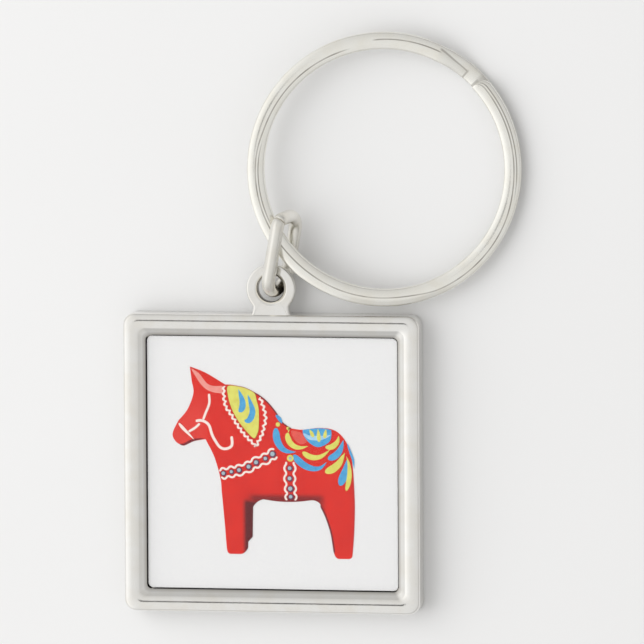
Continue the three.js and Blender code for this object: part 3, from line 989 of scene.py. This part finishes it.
def make_camera():
    right_turn, top_turn = math.radians(TO_RIGHT), math.radians(TO_TOP)
    level = math.cos(top_turn)
    back = Vector((math.sin(right_turn) * level, math.sin(top_turn), math.cos(right_turn) * level))
    right = Vector((math.cos(right_turn), 0, -math.sin(right_turn)))
    up = back.cross(right)
    turned = Quaternion(back, math.radians(-ROLL)).to_matrix()
    right, up = turned @ right, turned @ up
    data = bpy.data.cameras.new("camera")
    data.sensor_width = 36.0
    data.lens = LENS
    distance = LENS * FRAME_WIDTH / data.sensor_width
    data.clip_start, data.clip_end = 0.01, 50.0
    camera = bpy.data.objects.new("camera", data)
    bpy.context.scene.collection.objects.link(camera)
    place = Vector((*LOOK_AT, 0.0)) + back * distance
    turn = Matrix((right, up, back)).transposed().to_4x4()
    camera.matrix_world = Matrix.Translation(place * MM) @ turn
    bpy.context.scene.camera = camera


def make_floor():
    size = 12000.0
    verts = [(-size, -size, 0), (size, -size, 0), (size, size, 0), (-size, size, 0)]
    floor = add_object("floor", verts, [(0, 1, 2, 3)], smooth=False)
    floor.data.materials.append(table_white())
    floor.location.z = -0.02 * MM


def soft_light(name, place, look, size, power):
    """A square softbox that lights the scene and its shadows; the metal mirrors the world instead."""
    data = bpy.data.lights.new(name, "AREA")
    data.shape = "RECTANGLE"
    data.size, data.size_y = size
    data.energy = power
    light = bpy.data.objects.new(name, data)
    light.location = place
    light.rotation_mode = "QUATERNION"
    light.rotation_quaternion = (Vector(look) - Vector(place)).to_track_quat("-Z", "Y")
    light.visible_camera = False
    light.visible_glossy = False
    bpy.context.scene.collection.objects.link(light)


def make_world():
    """A white studio: bright overhead and to the left, dimmer low down, with a dark opening overhead."""
    world = bpy.data.worlds.new("studio")
    world.use_nodes = True
    tree = world.node_tree
    nodes, links = tree.nodes, tree.links
    background = next(n for n in nodes if n.type == "BACKGROUND")

    def value(operation, a, b):
        node = nodes.new("ShaderNodeMath")
        node.operation = operation
        for socket, item in zip(node.inputs, (a, b)):
            if isinstance(item, (int, float)):
                socket.default_value = item
            else:
                links.new(item, socket)
        return node.outputs[0]

    def span(item, low, high, out_low, out_high):
        node = nodes.new("ShaderNodeMapRange")
        node.interpolation_type = "SMOOTHSTEP"
        for key, number in zip(("From Min", "From Max", "To Min", "To Max"), (low, high, out_low, out_high)):
            node.inputs[key].default_value = number
        links.new(item, node.inputs["Value"])
        return node.outputs["Result"]

    where = nodes.new("ShaderNodeTexCoord")
    split = nodes.new("ShaderNodeSeparateXYZ")
    links.new(where.outputs["Generated"], split.inputs[0])
    x, y, z = split.outputs
    height = span(z, -0.05, 0.75, 0.5, 0.8)
    side = span(x, -0.8, 0.8, 1.1, 0.88)
    far = span(y, -0.2, 0.8, 1.04, 0.86)
    level = value("MULTIPLY", value("MULTIPLY", height, side), far)
    level = value("ADD", level, span(x, -0.15, -0.8, 0.0, 0.28))
    gap_x = value("SUBTRACT", x, math.sin(math.radians(GAP_AT[0])))
    gap_y = value("SUBTRACT", y, math.sin(math.radians(GAP_AT[1])))
    squares = value("ADD", value("MULTIPLY", gap_x, gap_x), value("MULTIPLY", gap_y, gap_y))
    reach = value("SQRT", squares, 0.0)
    rim = math.sin(math.radians(GAP_RADIUS))
    overhead = span(z, 0.0, 0.2, 0.0, 1.0)
    gap = value("MULTIPLY", span(reach, rim * 0.85, rim * 1.15, 0.85, 0.0), overhead)
    level = value("MULTIPLY", level, value("SUBTRACT", 1.0, gap))
    links.new(level, background.inputs["Strength"])
    background.inputs["Color"].default_value = (1.0, 0.995, 0.985, 1.0)
    bpy.context.scene.world = world


def make_studio():
    make_camera()
    make_floor()
    make_world()
    soft_light("key_left", KEY_PLACE, KEY_LOOK, KEY_SIZE, KEY_POWER)
    bpy.context.scene.view_settings.view_transform = "Standard"


def make_print():
    inks = {
        "body": horse_ink(),
        "edge": printed_ink("ink_edge", srgb(128, 34, 42)),
        "brown": printed_ink("ink_brown", srgb(176, 92, 44)),
        "pale_blue": printed_ink("ink_pale_blue", srgb(176, 216, 240), srgb(150, 200, 234)),
        "pink": printed_ink("ink_pink", srgb(240, 160, 150), srgb(236, 140, 130)),
        "pink_red": printed_ink("ink_pink_red", srgb(232, 92, 82)),
        "white": printed_ink("ink_white", srgb(250, 232, 224), speck=0.03),
        "yellow": printed_ink("ink_yellow", srgb(226, 224, 112), srgb(214, 206, 92)),
        "blue": printed_ink("ink_blue", srgb(84, 172, 222), srgb(70, 150, 208)),
        "bead": printed_ink("ink_bead", srgb(176, 196, 204), srgb(150, 176, 190)),
        "bead_rim": printed_ink("ink_bead_rim", srgb(112, 56, 84)),
    }
    print_horse(inks)
    print_bridle(inks)
    print_petals(inks)
    print_mane(inks)
    print_lace(inks)
    print_chest_chain(inks)
    print_girth(inks)
    print_saddle(inks)


def make_metal_pieces():
    case_white, link_white, ring_white = srgb(240, 239, 236), srgb(234, 232, 226), srgb(245, 244, 238)
    make_case(plated_metal("plating_case", case_white, 0.07, 0.13, (260.0, 900.0, 900.0), case_painted_shade))
    make_link(plated_metal("plating_link", link_white, 0.2, 0.28, (900.0, 300.0, 900.0)))
    make_ring(plated_metal("plating_ring", ring_white, 0.13, 0.2, (800.0, 800.0, 2600.0), ring_painted_reflections_and_shade))


make_studio()
make_metal_pieces()
set_material("print_card", white_card())
set_material("adhesive_pad", foam_tape())
set_material("clear_film", clear_film())
make_print()
